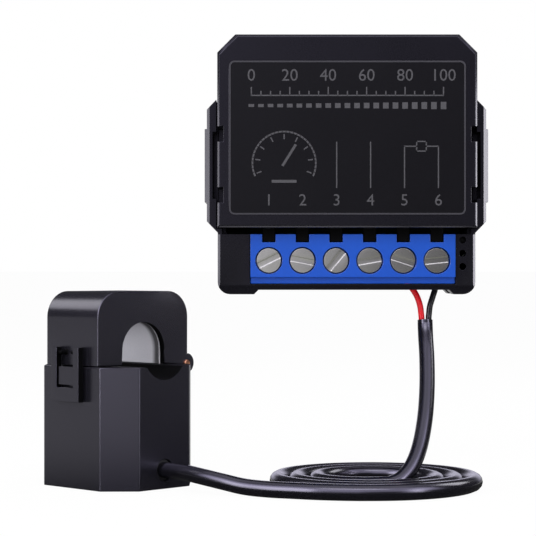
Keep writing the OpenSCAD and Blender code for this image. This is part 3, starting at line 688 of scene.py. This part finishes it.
def tube(name, route, diameter, material, replaced):
    curve = bpy.data.curves.new(name, "CURVE")
    curve.dimensions = "3D"
    spline = curve.splines.new("POLY")
    spline.points.add(len(route) - 1)
    for point, (x, y, height) in zip(spline.points, route):
        point.co = (x * MM, y * MM, FLOOR_Z + height * MM, 1)
    curve.bevel_depth = diameter / 2 * MM
    curve.bevel_resolution = 5
    curve.use_fill_caps = True
    obj = bpy.data.objects.new(name, curve)
    bpy.context.scene.collection.objects.link(obj)
    return finish_piece(obj, name, material, "module", replaced)


def add_lead():
    route = lead_route()
    red_route, black_route = (curved(r, CORE_STEPS) for r in (ROUTE_RED, ROUTE_BLACK))
    cord_nodes = ["cord_from_clamp", "cord_coil", "cord_riser"]
    cord = tube("lead", route, CORD_D, SHEATH, cord_nodes)
    red = tube("core_red", red_route, CORE_D, RED, ["wire_red"])
    black = tube("core_black", black_route, CORE_D, BLACK, ["wire_black"])


# Studio floor: what reflections see on it, as two levels and the places in metres between which
# one passes into the other. The window is a band between four places.

FLOOR_SIZE = 40
PAPER = (0.82, 0.82, 0.82, 1)
PAPER_GLOW = 0.96
FLOOR_ASIDE = (0.5, 0.05, -0.12, -0.04)
FLOOR_NEAR = (-0.3, -0.25, -0.11, -0.05)
FLOOR_NEAR_LEVEL = 0.6
FLOOR_FAR = (1, 0, -0.3, -0.25)
FLOOR_FAR_LEFT = (0.8, 0.08, -0.02, 0.07)
FLOOR_BEYOND = (0.0, 0.6, -0.005, 0.01)


def floor_mirrored(tree):
    """How bright each place on the floor is to reflections."""
    split = tree.nodes.new("ShaderNodeSeparateXYZ")
    place = tree.nodes.new("ShaderNodeTexCoord").outputs["Object"]
    tree.links.new(place, split.inputs[0])
    x, y, _ = split.outputs
    near = add_window(tree, y, FLOOR_NEAR, FLOOR_NEAR_LEVEL)
    far = add_range(tree, y, *FLOOR_FAR)
    far_left = add_math(tree, "MULTIPLY", far, add_range(tree, x, *FLOOR_FAR_LEFT))
    before = add_math(tree, "ADD", near, far_left)
    around = add_math(tree, "MAXIMUM", before, add_range(tree, y, *FLOOR_BEYOND))
    return add_math(tree, "MAXIMUM", add_range(tree, x, *FLOOR_ASIDE), around)


def stage_material():
    """White ground that shows to the camera as lit paper and keeps a faint shadow."""
    material = bpy.data.materials.new("studio_floor")
    material.use_nodes = True
    tree = material.node_tree
    tree.nodes.clear()
    paper = tree.nodes.new("ShaderNodeBsdfDiffuse")
    paper.inputs["Color"].default_value = PAPER
    glow = tree.nodes.new("ShaderNodeEmission")
    dim = tree.nodes.new("ShaderNodeEmission")
    tree.links.new(floor_mirrored(tree), dim.inputs["Strength"])
    ray = tree.nodes.new("ShaderNodeLightPath").outputs
    share = add_math(tree, "MULTIPLY", ray["Is Camera Ray"], PAPER_GLOW)
    seen = mix_shaders(tree, share, paper.outputs[0], glow.outputs[0])
    ground = mix_shaders(tree, ray["Is Glossy Ray"], seen, dim.outputs[0])
    result = tree.nodes.new("ShaderNodeOutputMaterial")
    tree.links.new(ground, result.inputs["Surface"])
    return material


def add_floor():
    bpy.ops.mesh.primitive_plane_add(size=FLOOR_SIZE, location=(0, 0, FLOOR_Z))
    floor = bpy.context.object
    floor.name = "studio_floor"
    floor.data.materials.append(stage_material())


# Studio room: the same kind of values, by the direction that is looked in

WHITE = (1, 1, 1, 1)
ROOM_AHEAD = (1.0, 0.0, -1.0, -0.4)
ROOM_HEIGHT = (0.2, 0.7)
FRONT_PANEL = (1.35, 0.08, -0.06, 0.07)
FRONT_HALF = (1, 0, -0.3, -0.1)
STRIPS = (0.52, 0.6, 0.76, 0.84)
STRIPS_LEVEL = 3.0
SHELF = (0.22, 0.34, 0.8, 0.95)
SHELF_LEVEL = 2.2
OVERHEAD = (0, 0.7, 0.7, 0.85)
REAR_HALF = (0, 1, 0.8, 0.95)
REAR_BAND = (0.02, 0.06, 0.2, 0.3)
REAR_LEVEL = 1.2
MIRROR_LEVEL = 0.06
MIRROR_TINT = (0.93, 0.9, 1.1, 1)


def add_background(tree, colour, strength):
    background = tree.nodes.new("ShaderNodeBackground")
    background.inputs["Color"].default_value = colour
    feed(tree, strength, background.inputs["Strength"])
    return background.outputs[0]


def add_world():
    """White to the camera, a soft room for the light, and lit panels for reflections."""
    world = bpy.data.worlds.new("studio")
    bpy.context.scene.world = world
    world.use_nodes = True
    tree = world.node_tree
    tree.nodes.clear()
    split = tree.nodes.new("ShaderNodeSeparateXYZ")
    place = tree.nodes.new("ShaderNodeTexCoord").outputs["Generated"]
    tree.links.new(place, split.inputs[0])
    x, y, z = split.outputs
    ahead = add_range(tree, y, *ROOM_AHEAD)
    front = add_range(tree, y, *FRONT_HALF)
    rear = add_range(tree, y, *REAR_HALF)
    room = add_math(tree, "ADD", ahead, add_range(tree, z, *ROOM_HEIGHT))
    mirrored = MIRROR_LEVEL
    for light in (
        add_math(tree, "MULTIPLY", ahead, add_range(tree, x, *FRONT_PANEL)),
        add_window(tree, add_math(tree, "ABSOLUTE", x), STRIPS, STRIPS_LEVEL, front),
        add_window(tree, z, SHELF, SHELF_LEVEL, front),
        add_range(tree, z, *OVERHEAD),
        add_window(tree, z, REAR_BAND, REAR_LEVEL, rear),
    ):
        mirrored = add_math(tree, "ADD", mirrored, light)
    ray = tree.nodes.new("ShaderNodeLightPath").outputs
    shader = add_background(tree, WHITE, room)
    for seen, colour, strength in (
        ("Is Glossy Ray", MIRROR_TINT, mirrored),
        ("Is Camera Ray", WHITE, 1),
    ):
        background = add_background(tree, colour, strength)
        shader = mix_shaders(tree, ray[seen], shader, background)
    result = tree.nodes.new("ShaderNodeOutputWorld")
    tree.links.new(shader, result.inputs["Surface"])


# Lamps: name, place, the point it looks at, size and watts

LAMPS = [
    ("key", (-290, -290, 70), (-30, -15, -25), (150, 260), 0.6),
    ("fill", (290, -290, 40), (0, -15, -25), (80, 260), 0.3),
    ("front", (-30, -260, 250), (-5, -15, -25), (260, 100), 0.35),
    ("rim", (-350, 90, 215), (-40, -15, -20), (200, 200), 0.33),
    ("far rim", (330, 150, 240), (10, -15, -40), (200, 200), 0.6),
    ("top", (0, -40, 420), (0, -10, -20), (420, 320), 0.25),
]
EDGE_LAMPS = [
    ("left edge", (-150, -18, 0), (-23, -18, 0), (60, 70), 0.115),
    ("right edge", (150, -18, 0), (23, -18, 0), (60, 70), 0.28),
    ("lower edge", (0, -19, -50), (0, -19, -12), (50, 10), 0.006),
]
BORE_LAMP = ("bore", (60, -220, -30), (-41, -15, -33), (12, 12), 0.0033)
BORE_SPREAD = radians(7)


def add_area(name, place, aim, size, power):
    bpy.ops.object.light_add(type="AREA", location=[v * MM for v in place])
    light = bpy.context.object
    light.name = name
    light.data.shape = "RECTANGLE"
    light.data.size = size[0] * MM
    light.data.size_y = size[1] * MM
    light.data.energy = power
    look = Vector(aim) - Vector(place)
    light.rotation_euler = look.to_track_quat("-Z", "Y").to_euler()
    return light


def add_private_lamps(name, nodes, lamps):
    """Lamps that light only these nodes' pieces and aren't seen themselves."""
    lit = bpy.data.collections.new(name)
    for node in nodes:
        lit.objects.link(bpy.data.objects[f"{node}_finished"])
    lights = [add_area(*lamp) for lamp in lamps]
    for light in lights:
        light.visible_camera = False
        light.light_linking.receiver_collection = lit
    return lights


def add_lights():
    """The studio's lamps, strips for the module's edges, and a narrow beam into the bore."""
    for lamp in LAMPS:
        add_area(*lamp)
    add_private_lamps("edge_lit", ["rear_housing", "front_cover"], EDGE_LAMPS)
    (bore,) = add_private_lamps("core_lit", ["upper_core"], [BORE_LAMP])
    bore.data.spread = BORE_SPREAD


add_camera()
add_lead()
add_moulded_pieces()
band_core()
add_panel()
add_print()
dress_inner()
add_floor()
add_world()
add_lights()
bpy.context.scene.view_settings.view_transform = "Standard"
